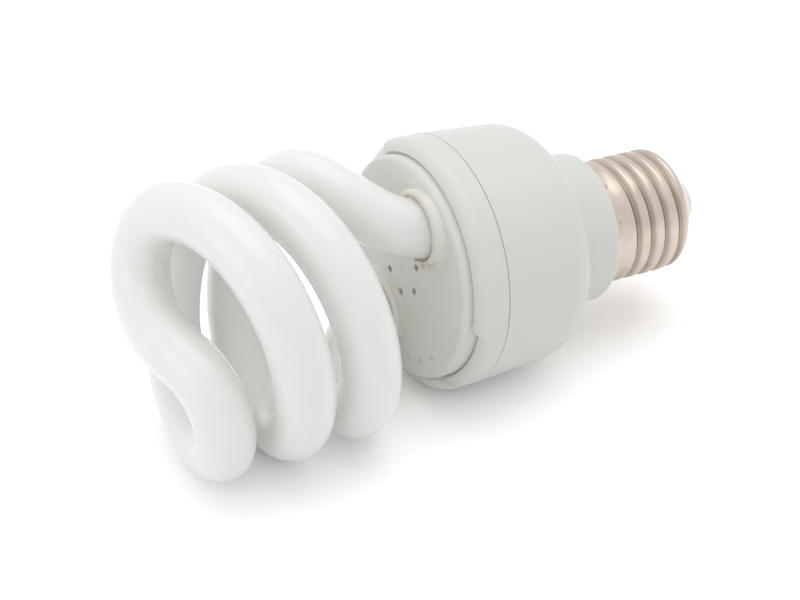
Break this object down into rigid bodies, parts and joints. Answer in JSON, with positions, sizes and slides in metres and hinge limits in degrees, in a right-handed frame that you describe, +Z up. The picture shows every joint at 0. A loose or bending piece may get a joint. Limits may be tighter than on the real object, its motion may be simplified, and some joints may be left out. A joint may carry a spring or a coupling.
{
  "type": "energy saving bulb",
  "caption": "Spiral compact fluorescent lamp with a white ballast housing and an E27 screw cap, lying on its side.",
  "frame": {"origin": "middle of the lamp's footprint on the surface that it lies on", "axes": "+Z up; +X along the lamp as it lies, towards the screw cap; the spiral's head is at -X"},
  "size_m": [0.1312, 0.0604, 0.0603],
  "materials": {
    "coated_glass": "satin white coating seen through clear glass",
    "cement": "cream, matt",
    "white_plastic": "off-white, semi-gloss moulding",
    "plated_shell": "plated sheet, slightly warm",
    "cap_glass": "pale, glossy",
    "contact_metal": "tinned",
    "board": "bare laminate",
    "tinned_wire": "tinned",
    "dark_sleeve": "shrunk sleeve",
    "ferrite": "dark, matt",
    "bobbin_plastic": "natural nylon",
    "copper_wire": "lacquered copper",
    "insulated_wire": "insulated wire",
    "black_epoxy": "moulded epoxy",
    "film_epoxy": "dipped epoxy",
    "resistor_lacquer": "lacquered"
  },
  "bodies": {
    "root": {"spiral_tube": "coated_glass", "tube_cement": "cement", "tube_plate": "white_plastic", "cover_ring": "white_plastic", "housing": "white_plastic", "screw_shell": "plated_shell", "cap_insulator": "cap_glass", "centre_contact": "contact_metal", "circuit_board": "board", "wire_posts": "tinned_wire", "tube_leads": "tinned_wire", "smoothing_capacitor": "dark_sleeve", "choke_core": "ferrite", "choke_bobbin": "bobbin_plastic", "choke_winding": "copper_wire", "drive_toroid": "ferrite", "toroid_windings": "insulated_wire", "transistors": "black_epoxy", "resonance_capacitor": "film_epoxy", "coupling_capacitor": "film_epoxy", "rectifier_diodes": "black_epoxy", "resistors": "resistor_lacquer", "trigger_diode": "resistor_lacquer", "fuse_resistor": "resistor_lacquer", "contact_wire": "insulated_wire", "shell_wire": "insulated_wire"}
  },
  "joints": []
}
